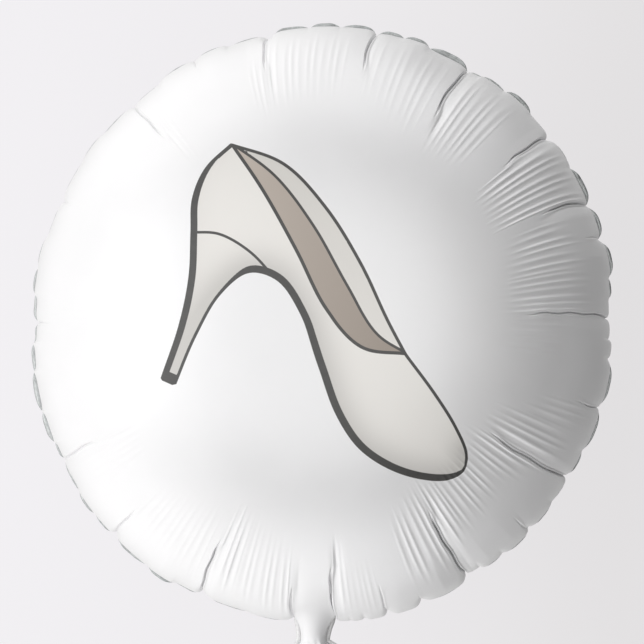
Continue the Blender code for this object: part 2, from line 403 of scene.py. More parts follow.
RUN_LENGTH, RADIUS, HEIGHT, SLOPE = foil_profile()
FLAT_TO_ROUND = RUN_LENGTH[-1]
RUN = RUN_LENGTH / FLAT_TO_ROUND
MEAN_RADIUS = (BODY_WIDTH + BODY_LENGTH) / 4 - SEAL_WIDTH
SPOT_SHARE = float(np.interp(REST_SPOT_RADIUS / MEAN_RADIUS, RADIUS, RUN))
SPOT_HEIGHT = float(np.interp(SPOT_SHARE, RUN, HEIGHT))
HALF_DEPTH = (BODY_HIGH.z - SEAL_THICKNESS) / (1 + SPOT_HEIGHT)
MID_HEIGHT = SEAL_THICKNESS / 2 + HALF_DEPTH * SPOT_HEIGHT
CREASE_ANGLES = np.array([gather[0] for gather in GATHERS])


def seam_radius(angle):
    """Inner edge of the seal at angles in degrees."""
    swing = (BODY_LENGTH - BODY_WIDTH) / 4
    return MEAN_RADIUS + swing * np.cos(np.radians(2 * (angle - LONG_AXIS_ANGLE)))


def turn_between(angle, other):
    """Signed difference of angles in degrees, from -180 to 180."""
    return (angle - other + 180) % 360 - 180


def column_angles():
    """Rim angles of the sheet's columns, closer together beside the creases, with the neck's bay last."""
    ends = np.append(CREASE_ANGLES[1:], 360 + NECK_SIDE)
    bays = ends - CREASE_ANGLES
    counts = np.floor(bays[:-1] / bays[:-1].sum() * (RIM_COLUMNS - NECK_COLUMNS)).astype(int)
    counts[: RIM_COLUMNS - NECK_COLUMNS - counts.sum()] += 1
    angles = []
    for start, bay, count in zip(CREASE_ANGLES, bays, counts):
        share = np.arange(count) / count
        angles.append(start + bay * (share - CREASE_CLUSTERING * np.sin(2 * np.pi * share) / (2 * np.pi)))
    across = np.arange(NECK_COLUMNS) / NECK_COLUMNS * 2 - 1
    angles.append(360 + NECK_SIDE * np.sin(np.pi / 2 * across))
    return np.concatenate(angles)


COLUMN_ANGLES = column_angles()
NECK_FIRST = RIM_COLUMNS - NECK_COLUMNS


def drift(angle, radius_share):
    """Sideways drift in degrees of a line that runs in from the rim at an angle."""
    knots = np.concatenate((CREASE_ANGLES - 360, CREASE_ANGLES, CREASE_ANGLES + 360))
    values = np.tile([gather[2] for gather in GATHERS], 3)
    return np.interp(angle, knots, values) * (1 - np.exp(-(1 - radius_share) / DRIFT_REACH))


def rim_levels(angle):
    """How far the pillow and the seal reach from the even rim line at rim angles, in metres, and the
    pillow's reach with its lobes evened out."""
    starts = np.array([lobe[0] for lobe in LOBES])
    ends = np.append(starts[1:], 360 + NECK_SIDE)
    cuts, rises, seals = (np.array([lobe[fact] for lobe in LOBES]) / 1000 for fact in (1, 2, 3))
    turned = np.where(angle % 360 < NECK_SIDE, angle % 360 + 360, angle % 360)
    lobe = np.clip(np.searchsorted(starts, turned + 1e-9, side="right") - 1, 0, len(LOBES) - 1)
    place = (turned - starts[lobe]) / (ends[lobe] - starts[lobe])
    side = np.abs(2 * place - 1)
    cut = np.where(place < 0.5, cuts[lobe], cuts[(lobe + 1) % len(LOBES)])
    middles = (starts + ends) / 2
    knots = np.concatenate((middles - 360, middles, middles + 360))
    evened = np.interp(turned, knots, np.tile(rises - seals, 3))
    rounded, squared = side**LOBE_SQUARENESS, side**PILLOW_SQUARENESS
    seal = rises[lobe] * (1 - rounded) - cut * rounded
    pillow = (rises - seals)[lobe] * (1 - squared) - cut * squared
    return pillow, seal, evened


def uneven(kind, place, count, stretch):
    """A sine along a fluted stretch, from its size and its turns per flute and per stretch."""
    size, per_flute, per_stretch = kind
    return size * np.sin(per_flute * place * count + per_stretch * stretch)


def flute_offsets(angle, radius_share):
    """Heights of the fine flutes, in metres, at rim angles and shares of the radius."""
    out = np.zeros_like(radius_share)
    for index, flutes in enumerate(FLUTES):
        begin, end, start_here, start_there, stop_here, stop_there, height, spacing = flutes
        count = max(1, round((end - begin) / spacing))
        place = turn_between(angle, (begin + end) / 2) / (end - begin) + 0.5
        number = place * count + uneven(FLUTE_PLACES, place, count, index)
        wave = -np.cos(2 * np.pi * number) + FLUTE_SHARPNESS * np.cos(4 * np.pi * number)
        stature = 1 + uneven(FLUTE_HEIGHTS, place, count, index)
        edges = ease(place * count / FLUTE_EDGE) * ease((1 - place) * count / FLUTE_EDGE)
        ragged = uneven(FLUTE_ENDS, place, count, index) + uneven(FLUTE_FINE_ENDS, place, count, index)
        start = start_here + (start_there - start_here) * place + ragged
        stop = stop_here + (stop_there - stop_here) * place + ragged
        begun = ease((radius_share - start) / FLUTE_RISE)
        ended = ease((radius_share - stop + FLUTE_FALL) / FLUTE_FALL)
        flute = height / 1000 * wave * stature * edges * (begun * (1 - ended))
        out += np.where((place > 0) & (place < 1), flute, 0.0)
    return out


def gather_offsets(angle, radius_share, side):
    """Offsets along the normal and sideways, in metres, and the shade painted where the foil closes up."""
    radius = seam_radius(angle) * np.maximum(radius_share, LEAST_RADIUS_SHARE)
    pillow, _, evened = rim_levels(angle)
    evened = CREST_RISE + evened
    pillow = CREST_RISE + pillow
    folded = ease((radius_share - FOLD_START) / (1 - FOLD_START))
    out = evened * ease((radius_share - PILLOW_START) / (1 - PILLOW_START)) + (pillow - evened) * folded
    out = out + FLUTE_STRENGTH * flute_offsets(angle, radius_share)
    sideways = np.zeros_like(out)
    # Painted shade where a lobe's fold cuts in at the rim
    painted_crease_shade = np.clip((evened - pillow) / FOLD_FULL_SHADE_DEPTH, 0, 1) * folded * FOLD_PAINTED_SHADE
    for index, (crease, start, _, depth, lean, slit_start, slit_shade) in enumerate(GATHERS):
        if side < 0:
            start = start + BACK_START_SPREAD * math.sin(7 * index)
        along = np.radians(turn_between(angle, crease)) * radius
        apart = np.abs(along)
        rise = ease((radius_share - start) / VALLEY_RISE)
        shut = ease((radius_share - slit_start + SLIT_RISE) / SLIT_RISE)
        fall = 1 - (1 - SLIT_LEFT_AT_RIM) * ease((radius_share - SLIT_FALL_START) / SLIT_FALL)
        width = SLIT_HALF_WIDTH_INNER + (SLIT_HALF_WIDTH - SLIT_HALF_WIDTH_INNER) * rise
        close = np.clip(1 - apart / width, 0, 1) ** SLIT_SHARPNESS * shut
        from_valley = along + lean * VALLEY_OFFSET * (1 - VALLEY_OFFSET_LOST * shut)
        steep = WALL_WIDTH + (WALL_WIDTH_INNER - WALL_WIDTH) * (1 - shut)
        reach = np.where(from_valley * lean > 0, steep, VALLEY_HALF_WIDTH)
        valley = np.clip(1 - np.abs(from_valley) / reach, 0, 1) ** 2
        out -= depth / 1000 * (close + VALLEY_SHARE * valley * rise) * fall
        rate = WANDER_RATE + WANDER_RATE_SPREAD * math.sin(index)
        sway = WANDER * np.sin((1 - radius_share) * rate + WANDER_PHASE * index)
        sway = sway * ease((1 - radius_share) / WANDER_RISE)
        pull = (lean * LEAN_SHARE * depth / 1000 * fall + sway) * shut
        sideways += pull * np.clip(1 - apart / LEAN_HALF_WIDTH, 0, 1)
        # Painted shade in the closed slit
        painted_crease_shade = np.maximum(painted_crease_shade, close * slit_shade)
    return out, sideways, painted_crease_shade


def sheet_points(angle, share, side):
    """Points of a sheet at rim angles and shares of its unrolled radius, and the shade painted where they are
    shut in.
    """
    radius_share = np.interp(share, RUN, RADIUS)
    height = np.interp(share, RUN, HEIGHT)
    slope = np.interp(share, RUN, SLOPE)
    out, sideways, painted_crease_shade = gather_offsets(angle, radius_share, side)
    turned = np.radians(angle + drift(angle, radius_share))
    radius = seam_radius(angle) * radius_share + out * np.sin(slope)
    z = SHEET_GAP / 2 + (HALF_DEPTH + SEAL_THICKNESS / 2 - SHEET_GAP / 2) * height + out * np.cos(slope)
    x = radius * np.sin(turned) + sideways * np.cos(turned)
    y = -radius * np.cos(turned) + sideways * np.sin(turned)
    z = np.maximum(MID_HEIGHT + side * z, FLOOR_GAP)
    return np.stack((x, y, z), axis=-1), painted_crease_shade


def hermite(start, end, leave, arrive, share):
    """Cubic curve between two points with given end tangents."""
    share = np.asarray(share)[..., None]
    square, cube = share**2, share**3
    point = start * (2 * cube - 3 * square + 1) + leave * (cube - 2 * square + share)
    return point + end * (3 * square - 2 * cube) + arrive * (cube - square)


def sheet_rings(side):
    """Shares of the unrolled radius of a sheet's rings, each with the step between its columns."""
    flat_radius = MEAN_RADIUS * FLAT_TO_ROUND
    ring_step = INNER_RING_STEP if side > 0 else BACK_INNER_RING_STEP
    inner = np.linspace(0, INNER_SHARE, round(INNER_SHARE * flat_radius / ring_step) + 1)[1:-1]
    graded = np.linspace(0, 1, OUTER_RINGS if side > 0 else BACK_OUTER_RINGS)
    outer = INNER_SHARE + (1 - INNER_SHARE) * (graded + RING_GRADING * np.sin(np.pi * graded) / np.pi)
    rings = []
    for share in inner:
        step = 2
        while step < WIDEST_COLUMN_STEP and share * flat_radius < THINNING_RADIUS / step:
            step *= 2
        rings.append((share, step))
    return rings + [(share, 1) for share in outer]


def tail_rows(across, swing, bulge, side):
    """Rows of a sheet beyond the pinch, where the foil flattens to the rippled tail."""
    flattening = FLATTENING_LENGTH * np.arange(1, FLATTENING_ROWS + 1) / FLATTENING_ROWS
    tail = np.linspace(FLATTENING_LENGTH, FLATTENING_LENGTH + TAIL_LENGTH, TAIL_ROWS + 1)[1:]
    tail_half_width = TAIL_WIDTH / 2 - TAIL_SEAL_WIDTH
    waves = np.cos(WRINKLE_HALF_WAVES * np.pi * across + WRINKLE_PHASE)
    rows = []
    for distance in (*flattening, *tail):
        share = min(1.0, distance / FLATTENING_LENGTH)
        flat = ease(share)
        half_width = PINCH_RADIUS + (tail_half_width - PINCH_RADIUS) * math.sin(math.pi / 2 * share)
        still_round = max(0.0, 1 - distance / (2 * FLATTENING_LENGTH)) ** FLATTENING_POWER
        half_height = PINCH_RADIUS * still_round + TAIL_HALF_THICKNESS
        centre = PINCH_SHIFT + (TAIL_SHIFT - PINCH_SHIFT) * flat
        spread = swing * (1 - flat) + across * flat
        wrinkle = WRINKLE_HEIGHT * waves * bulge * math.sin(math.pi * share) ** WRINKLE_POWER
        ripple = RIPPLE_HEIGHT * math.sin(RIPPLE_RATE * (distance - FLATTENING_LENGTH)) * flat
        x = centre + half_width * spread
        y = np.full_like(x, -PINCH_REACH - distance)
        lift = np.maximum(SHEET_GAP / 2 + (half_height - SHEET_GAP / 2) * bulge + wrinkle, SHEET_GAP / 2)
        z = MID_HEIGHT + side * lift + ripple * (1 - RIPPLE_LEAN + RIPPLE_LEAN * across)
        rows.append(np.stack((x, y, z), axis=-1))
    return rows


def neck_edges(body):
    """The neck's two side lines: the body's edges, and from their corners on to the pinch."""
    shares = np.arange(1, NECK_END_ROWS + 1) / NECK_END_ROWS
    edges = []
    for edge, sign in ((0, -1), (-1, 1)):
        corner = body[-1, edge]
        end = np.array((PINCH_SHIFT + sign * PINCH_RADIUS, -PINCH_REACH, corner[2]))
        length = np.linalg.norm(end - corner)
        leave = np.array(NECK_EDGE_HEADING) * (sign, 1, 1) * length
        curve = hermite(corner, end, leave, np.array((0, -length, 0)), shares)
        edges.append(np.concatenate((body[:, edge], curve)))
    return edges


def neck_rows(grid, neck_rings, side):
    """The neck's part of a sheet: body rows with the tongue blended in, rows to the pinch, and the tail."""
    columns = list(range(NECK_FIRST, RIM_COLUMNS)) + [0]
    across = np.linspace(-1, 1, NECK_COLUMNS + 1)
    swing = np.sin(np.pi / 2 * across)
    bulge = np.cos(np.pi / 2 * across)
    body = grid[-neck_rings - 1 :][:, columns]
    before = grid[-neck_rings - 2][columns[NECK_COLUMNS // 2]]
    total = neck_rings + NECK_END_ROWS
    start = body[0, NECK_COLUMNS // 2]
    end = np.array((PINCH_SHIFT, -PINCH_REACH, MID_HEIGHT + side * PINCH_RADIUS))
    reach = np.linalg.norm(end - start)
    leave = (start - before) / np.linalg.norm(start - before) * reach * NECK_HEADING_REACH
    arrive = np.array(PINCH_HEADING) * (1, 1, side) * reach * NECK_HEADING_REACH
    middle = hermite(start, end, leave, arrive, np.arange(total + 1) / total)
    rows = []
    for row, (left, right) in enumerate(zip(*neck_edges(body))):
        lift = middle[row] - (left + right) / 2
        points = left + (right - left) * (1 + swing[:, None]) / 2 + lift * bulge[:, None]
        if row <= neck_rings:
            points = body[row] + (points - body[row]) * ease(row / (NECK_BLEND_SHARE * neck_rings))
        rows.append(points)
    rows = np.array(rows + tail_rows(across, swing, bulge, side))
    give = np.clip(NECK_GIVE * bulge, 0, 1)[None, :, None]
    for _ in range(NECK_SMOOTHING):
        evened = (rows[:-2] + 2 * rows[1:-1] + rows[2:]) / 4
        rows[1:-1] += (evened - rows[1:-1]) * give
    return rows, columns


def fan_faces(starts):
    """Faces between the rings of a sheet, from its middle out, where a ring may have twice the columns."""
    first_start, first_size = starts[0]
    faces = [(0, first_start + here, first_start + (here + 1) % first_size) for here in range(first_size)]
    for (start, size), (next_start, next_size) in zip(starts, starts[1:]):
        here = np.arange(size)
        there = (here + 1) % size
        if size == next_size:
            found = [(next_start + here, next_start + there, start + there, start + here)]
        else:
            fine = next_start + 2 * here
            fine_end = next_start + (2 * here + 2) % next_size
            found = [
                (start + here, fine, fine + 1),
                (start + here, fine + 1, start + there),
                (start + there, fine + 1, fine_end),
            ]
        for corners in found:
            faces.extend(map(tuple, np.stack(corners, axis=-1).tolist()))
    return faces


def sheet_mesh(side):
    """Vertices, faces and per-vertex facts of one sheet, and its edge from the neck's right corner round."""
    rings = sheet_rings(side)
    flat_radius = MEAN_RADIUS * FLAT_TO_ROUND
    centre, _ = sheet_points(np.array([0.0]), np.array([0.0]), side)
    points, painted_crease_shade, flat_places, starts = [centre], [np.zeros(1)], [np.zeros((1, 2))], []
    count = 1
    for share, step in rings:
        angles = COLUMN_ANGLES[::step]
        shares = np.full(len(angles), share)
        ring_points, ring_painted_crease_shade = sheet_points(angles, shares, side)
        turned = np.radians(angles + drift(angles, np.interp(shares, RUN, RADIUS)))
        starts.append((count, len(angles)))
        points.append(ring_points)
        painted_crease_shade.append(ring_painted_crease_shade)
        flat_places.append(share * flat_radius * np.stack((np.sin(turned), -np.cos(turned)), axis=-1))
        count += len(angles)
    vertices = np.concatenate(points)
    outer = [start for start, size in starts if size == RIM_COLUMNS]
    grid = np.array([vertices[start : start + RIM_COLUMNS] for start in outer])
    neck_rings = sum(1 for share, step in rings if step == 1 and share > NECK_START_SHARE)
    rows, columns = neck_rows(grid, neck_rings, side)
    for row in range(1, neck_rings + 1):
        start = outer[row - neck_rings - 1]
        vertices[start + np.array(columns[1:-1])] = rows[row][1:-1]
    beyond = rows[neck_rings + 1 :]
    added = beyond.shape[0] * beyond.shape[1]
    vertices = np.concatenate((vertices, beyond.reshape(-1, 3)))
    painted_crease_shade = np.concatenate(painted_crease_shade + [np.zeros(added)])
    flat_places = np.concatenate(flat_places + [np.full((added, 2), 1.0)])

    faces = fan_faces(starts)
    last = [outer[-1] + column for column in columns]
    for row in range(len(beyond)):
        new = [count + row * len(columns) + column for column in range(len(columns))]
        for column in range(NECK_COLUMNS):
            faces.append((last[column], new[column], new[column + 1], last[column + 1]))
        last = new
    rim = vertices[outer[-1] : outer[-1] + NECK_FIRST + 1]
    edge = np.concatenate((rim, beyond[:, 0], beyond[-1, 1:-1], beyond[::-1, -1]))
    if side < 0:
        faces = [face[::-1] for face in faces]
    return vertices, faces, painted_crease_shade, flat_places, edge


def make_object(name, vertices, faces, material, facts):
    """A smooth mesh object with float attributes, added to the scene as a piece of the balloon."""
    mesh = bpy.data.meshes.new(name)
    mesh.from_pydata(vertices.tolist(), [], faces)
    mesh.update()
    for fact, values in facts:
        layer = mesh.attributes.new(fact, "FLOAT", "POINT")
        layer.data.foreach_set("value", np.asarray(values, dtype=np.float32))
    mesh.shade_smooth()
    mesh.materials.append(material)
    piece = bpy.data.objects.new(name, mesh)
    bpy.context.scene.collection.objects.link(piece)
    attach(piece, "root")
    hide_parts("foil_balloon")


def seal_directions(edge, rim):
    """Level directions in which the seal leaves an edge, evened out where the rim meets the neck."""
    along = (np.roll(edge, -1, axis=0) - np.roll(edge, 1, axis=0))[:, :2]
    outward = np.stack((along[:, 1], -along[:, 0]), axis=-1)
    outward[:rim] = edge[:rim, :2]
    outward /= np.linalg.norm(outward, axis=1)[:, None]
    for _ in range(SEAL_TURN_SMOOTHING):
        smooth = outward + 0.5 * (np.roll(outward, 1, axis=0) + np.roll(outward, -1, axis=0))
        outward[rim - SEAL_TURN_COLUMNS :] = smooth[rim - SEAL_TURN_COLUMNS :]
        outward[:SEAL_TURN_COLUMNS] = smooth[:SEAL_TURN_COLUMNS]
        outward /= np.linalg.norm(outward, axis=1)[:, None]
    return outward


def seal_widths(edge, rim):
    """Width of the seal at each point of an edge: each lobe's own round the rim, and the tail's beyond."""
    width = np.full(len(edge), TAIL_SEAL_WIDTH)
    pillow, seal, _ = rim_levels(COLUMN_ANGLES[:rim])
    width[:rim] = np.maximum(seal - pillow, LEAST_SEAL_WIDTH)
    tail_end = np.abs(edge[:, 1] - edge[:, 1].min()) < 1e-6
    width[tail_end] = TAIL_END_SEAL_WIDTH
    for _ in range(SEAL_WIDTH_SMOOTHING):
        for stretch in (slice(rim - SEAL_WIDTH_COLUMNS, None), slice(SEAL_WIDTH_COLUMNS)):
            width[stretch] = ((np.roll(width, 1) + width * 2 + np.roll(width, -1)) / 4)[stretch]
    return width


def seal_crackle(edge):
    """How far the seal's outer line stands up or down at each point of the edge, in metres."""
    steps = np.linalg.norm(np.roll(edge, -1, axis=0) - edge, axis=1)
    travelled = np.concatenate(([0], np.cumsum(steps)[:-1]))
    drifting = CRACKLE_DRIFT * np.sin(travelled * CRACKLE_DRIFT_RATE)
    crackle = np.zeros(len(edge))
    for number, wavelength in enumerate(CRACKLE_WAVELENGTHS):
        turn = 2 * np.pi * travelled / wavelength + CRACKLE_PHASE * number + drifting
        crackle += wavelength * CRACKLE_SHARE * np.sin(turn)
    return crackle


def seal_mesh(front_edge, back_edge):
    """The flat welded strip round the rim, down the neck's sides and round the tail, as a closed band."""
    count = len(front_edge)
    rim = NECK_FIRST + 1
    outward = seal_directions(front_edge, rim)
    width = seal_widths(front_edge, rim)
    crackle = seal_crackle(front_edge)
    middle = (front_edge + back_edge) / 2
    upper, lower = [], []
    for share, half_thickness in SEAL_SECTION:
        line = middle.copy()
        line[:, :2] += outward * (width * share)[:, None]
        line[:, 2] += crackle * share
        lift = np.array((0, 0, half_thickness * FOIL_THICKNESS))
        upper.append(line + lift)
        lower.append(line - lift)
    rows = upper + lower[::-1]
    faces = []
    for row in range(len(rows)):
        this, following = row * count, (row + 1) % len(rows) * count
        for place in range(count):
            after = (place + 1) % count
            faces.append((this + place, following + place, following + after, this + after))
    on_neck = np.zeros(count)
    on_neck[rim:] = 1.0
    return np.concatenate(rows), faces, np.tile(on_neck, len(rows))


def between(first, last, begin, end, now):
    """Where a straight run is at a time, from two points of it and the times when it passes them."""
    return ((end - now) * first + (now - begin) * last) / (end - begin)


def smooth_line(points, steps=10):
    """Points along a centripetal Catmull-Rom curve through the given points, without the last one."""
    points = np.array(points, dtype=float)
    padded = np.concatenate((2 * points[:1] - points[1:2], points, 2 * points[-1:] - points[-2:-1]))
    knots = np.concatenate(([0], np.cumsum(np.linalg.norm(np.diff(padded, axis=0), axis=1) ** 0.5)))
    line = []
    for index in range(1, len(points)):
        near = padded[index - 1 : index + 3]
        times = knots[index - 1 : index + 3]
        for now in np.linspace(times[1], times[2], steps, endpoint=False):
            legs = [between(near[n], near[n + 1], times[n], times[n + 1], now) for n in range(3)]
            bends = [between(legs[n], legs[n + 1], times[n], times[n + 2], now) for n in range(2)]
            line.append(between(bends[0], bends[1], times[1], times[2], now))
    return line


def closed_line(*strokes):
    """A closed outline made of strokes that meet in corners."""
    line = []
    for stroke in strokes:
        line += smooth_line(stroke)
    return np.array(line)


def outline_ink(heading):
    """Width of the outline's ink in the shoe's units along a stretch with a heading."""
    gain = UNDER_INK_BASE + heading[0] - UNDER_INK_FALLING * heading[1]
    return (EDGE_INK + UNDER_INK * min(1.0, max(0.0, gain))) / PRINT_SCALE


def distances_to(line, places, closed=True):
    """Distance of places to a line, positive inside a closed one, and to the inner edge of its ink."""
    starts = line if closed else line[:-1]
    ends = np.roll(line, -1, axis=0) if closed else line[1:]
    nearest = np.full(len(places), np.inf)
    past_ink = np.full(len(places), np.inf)
    inside = np.zeros(len(places), dtype=bool)
    for start, end in zip(starts, ends):
        stretch = end - start
        share = np.clip(((places - start) @ stretch) / (stretch @ stretch), 0, 1)
        apart = np.linalg.norm(places - start - share[:, None] * stretch, axis=1)
        nearest = np.minimum(nearest, apart)
        past_ink = np.minimum(past_ink, apart - outline_ink(stretch / np.linalg.norm(stretch)))
        if closed:
            spans = (start[1] > places[:, 1]) != (end[1] > places[:, 1])
            with np.errstate(divide="ignore", invalid="ignore"):
                crossing = (places[:, 1] - start[1]) / (end[1] - start[1]) * stretch[0] + start[0]
            inside ^= spans & (places[:, 0] < crossing)
    return (np.where(inside, nearest, -nearest) if closed else nearest), past_ink


def print_facts(flat_places):
    """The printed shoe at each place of the sheet: distances in mm, positive inside each shape, and shade."""
    turn = math.radians(PRINT_TILT)
    turned = np.array(((math.cos(turn), math.sin(turn)), (-math.sin(turn), math.cos(turn))))
    near = np.linalg.norm(flat_places, axis=1) < PRINT_REACH
    from_centre = flat_places[near] * 1000 - np.array(PRINT_CENTRE)
    places = from_centre @ turned / PRINT_SCALE + np.array(SHOE_MIDDLE)
    heel_under = UNDER_LINE[:HEEL_PART_OF_UNDER]
    shapes = {
        "shoe": closed_line(BACK_LINE, HEEL_TIP, UNDER_LINE + TOE, FAR_TOPLINE),
        "opening": closed_line(NEAR_TOPLINE, FAR_TOPLINE),
        "lining": closed_line(INSOLE_LINE, FAR_TOPLINE),
        "heel": closed_line(BACK_LINE[HEEL_PART_OF_BACK:], HEEL_TIP, heel_under, HEEL_SEAM[::-1]),
    }
    facts = {}
    for name, shape in shapes.items():
        distance, past_ink = distances_to(shape, places)
        facts[name] = distance * PRINT_SCALE
        if name == "shoe":
            facts["inner"] = np.where(distance > 0, past_ink * PRINT_SCALE, -EDGE_INK)
    in_cap = places[:, 0] < HEEL_CAP_END
    facts["cap"] = np.where(in_cap, (HEEL_CAP - places[:, 1]) * PRINT_SCALE, FAR_OUTSIDE)
    below, _ = distances_to(np.array(smooth_line(UNDER_LINE)), places, closed=False)
    behind, _ = distances_to(np.array(smooth_line(BACK_LINE)), places, closed=False)
    under_shade = np.exp(-((below * PRINT_SCALE / SHADE_REACH) ** 2))
    facts["shade"] = under_shade + BACK_SHADE * np.exp(-behind * PRINT_SCALE / SHADE_REACH)
    facts["along"] = places[:, 0] / SHOE_LENGTH
    for name, values in facts.items():
        facts[name] = np.full(len(near), 0.0 if name in ("shade", "along") else FAR_OUTSIDE)
        facts[name][near] = values
    return facts


# Numbers of the colour sockets of a mix node
MIX_SHARE, MIX_FIRST, MIX_SECOND, MIX_RESULT = 0, 6, 7, 2


class Wiring:
    """A node material under construction."""

    def __init__(self, name):
        self.material = bpy.data.materials.new(name)
        self.material.use_nodes = True
        self.tree = self.material.node_tree
        self.shader = self.tree.nodes["Principled BSDF"]

    def node(self, kind, settings=(), inputs=()):
        """A node with its settings and inputs, where an input is a value or another node's output."""
        made = self.tree.nodes.new(kind)
        for key, value in dict(settings).items():
            setattr(made, key, value)
        for key, value in dict(inputs).items():
            self.put(made.inputs[key], value)
        return made

    def put(self, socket, value):
        """Set or link one input."""
        if isinstance(value, bpy.types.NodeSocket):
            self.tree.links.new(value, socket)
        else:
            socket.default_value = value

    def noise(self, scale, detail, roughness=0.5):
        """Noise by place on the object."""
        place = self.node("ShaderNodeTexCoord").outputs["Object"]
        inputs = {"Scale": scale, "Detail": detail, "Roughness": roughness, "Vector": place}
        return self.node("ShaderNodeTexNoise", inputs=inputs).outputs["Fac"]

    def spread(self, value, low, high, new_low, new_high, smooth=False):
        """Value taken from one range to another."""
        settings = {"interpolation_type": "SMOOTHSTEP" if smooth else "LINEAR"}
        inputs = {"Value": value, "From Min": low, "From Max": high, "To Min": new_low, "To Max": new_high}
        return self.node("ShaderNodeMapRange", settings, inputs).outputs["Result"]

    def mix(self, share, first, second):
        """Colour between two colours."""
        made = self.node("ShaderNodeMix", {"data_type": "RGBA"})
        self.put(made.inputs[MIX_SHARE], share)
        self.put(made.inputs[MIX_FIRST], first)
        self.put(made.inputs[MIX_SECOND], second)
        return made.outputs[MIX_RESULT]

    def fade(self, value, low, high, first, second):
        """Colour that goes from one to another while a value goes through a range."""
        return self.mix(self.spread(value, low, high, 0.0, 1.0), first, second)

    def fact(self, name):
        """A float attribute of the mesh."""
        return self.node("ShaderNodeAttribute", {"attribute_name": name}).outputs["Fac"]

    def inside(self, distance):
        """1 where a printed distance in mm is positive and 0 where it isn't, with a fine soft edge."""
        return self.spread(distance, -PRINT_EDGE, PRINT_EDGE, 0.0, 1.0, smooth=True)

    def stroke(self, name, width):
        """1 on a printed line of a width in mm along the edge of a shape."""
        apart = self.node("ShaderNodeMath", {"operation": "ABSOLUTE"}, {0: self.fact(name)}).outputs[0]
        return self.spread(apart, width / 2 - PRINT_EDGE, width / 2 + PRINT_EDGE, 1.0, 0.0, smooth=True)

    def both(self, first, second, operation="MULTIPLY"):
        """Two shares together: their product, or with MAXIMUM the greater one."""
        return self.node("ShaderNodeMath", {"operation": operation}, {0: first, 1: second}).outputs[0]

    def bump(self, height, strength, distance, under=None):
        """Bump from a height, over another one."""
        inputs = {"Height": height, "Strength": strength, "Distance": distance}
        if under is not None:
            inputs["Normal"] = under
        return self.node("ShaderNodeBump", inputs=inputs).outputs["Normal"]


def grey(value):
    """A neutral colour."""
    return (value, value, value, 1.0)


def foil_finish(wiring, base, dull):
    """Colour, roughness and bump of both sheets: rolling marks, fine crumple, and shade painted into creases.
    """
    broad = wiring.noise(18.0, 4.0)
    fine = wiring.noise(420.0, 3.0, 0.6)
    wiring.put(wiring.shader.inputs["Roughness"], wiring.spread(broad, 0.3, 0.7, dull - 0.03, dull + 0.04))
    soft = wiring.noise(90.0, 2.0)
    under = wiring.bump(soft, 0.10, 0.0006)
    wiring.put(wiring.shader.inputs["Normal"], wiring.bump(fine, 0.06, 0.0002, under))
    low = tuple(channel * 0.975 for channel in base[:3]) + (1.0,)
    foil = wiring.fade(broad, 0.35, 0.65, low, base)
    # Painted shade in the slits and folds of the creases, darkening the foil colour
    painted_crease_shade = wiring.spread(wiring.fact("painted_crease_shade"), 0.35, 1.0, 0.0, 0.85)
    return wiring.mix(painted_crease_shade, foil, PAINTED_SLIT_SHADE)


def make_front_foil():
    """Pearl white foil with the printed shoe."""
    wiring = Wiring("printed_pearl_foil")
    foil = foil_finish(wiring, FRONT_FOIL, 0.41)
    shoe, opening, lining = (wiring.inside(wiring.fact(name)) for name in ("shoe", "opening", "lining"))
    outline = wiring.spread(wiring.inside(wiring.fact("inner")), 0.0, 1.0, 1.0, 0.0)
    ink = wiring.both(outline, wiring.inside(wiring.fact("cap")), "MAXIMUM")
    ink = wiring.both(ink, wiring.stroke("opening", TOPLINE_INK), "MAXIMUM")
    ink = wiring.both(ink, wiring.both(wiring.stroke("lining", INNER_INK), opening), "MAXIMUM")
    ink = wiring.both(ink, wiring.stroke("heel", INNER_INK), "MAXIMUM")
    ink = wiring.both(ink, shoe)
    shade = wiring.spread(wiring.fact("shade"), 0.0, 1.0, 0.0, 0.8)
    ivory = wiring.mix(shade, IVORY, SHADED_IVORY)
    along = wiring.fact("along")
    insole = wiring.fade(along, 0.15, 0.75, *INSOLE_COLOURS)
    far_side = wiring.fade(along, 0.15, 0.75, *FAR_SIDE_COLOURS)
    upper = wiring.mix(opening, ivory, wiring.mix(lining, insole, far_side))
    line = wiring.fade(wiring.noise(260.0, 2.0), 0.3, 0.7, *INK_COLOURS)
    wiring.put(wiring.shader.inputs["Base Color"], wiring.mix(shoe, foil, wiring.mix(ink, upper, line)))
    printed_shine = wiring.spread(shoe, 0.0, 1.0, 0.30, 0.12)
    bare_of_ink = wiring.spread(ink, 0.0, 1.0, 1.0, 0.0)
    wiring.put(wiring.shader.inputs["Metallic"], wiring.both(printed_shine, bare_of_ink))
    wiring.put(wiring.shader.inputs["Coat Weight"], wiring.spread(ink, 0.0, 1.0, 0.35, 1.0))
    wiring.shader.inputs["Coat Roughness"].default_value = 0.40
    return wiring.material


def make_back_foil():
    """Plain pearl foil of the back."""
    wiring = Wiring("plain_pearl_foil")
    wiring.put(wiring.shader.inputs["Base Color"], foil_finish(wiring, BACK_FOIL, 0.34))
    wiring.shader.inputs["Metallic"].default_value = 0.35
    wiring.shader.inputs["Coat Weight"].default_value = 0.35
    wiring.shader.inputs["Coat Roughness"].default_value = 0.38
    return wiring.material


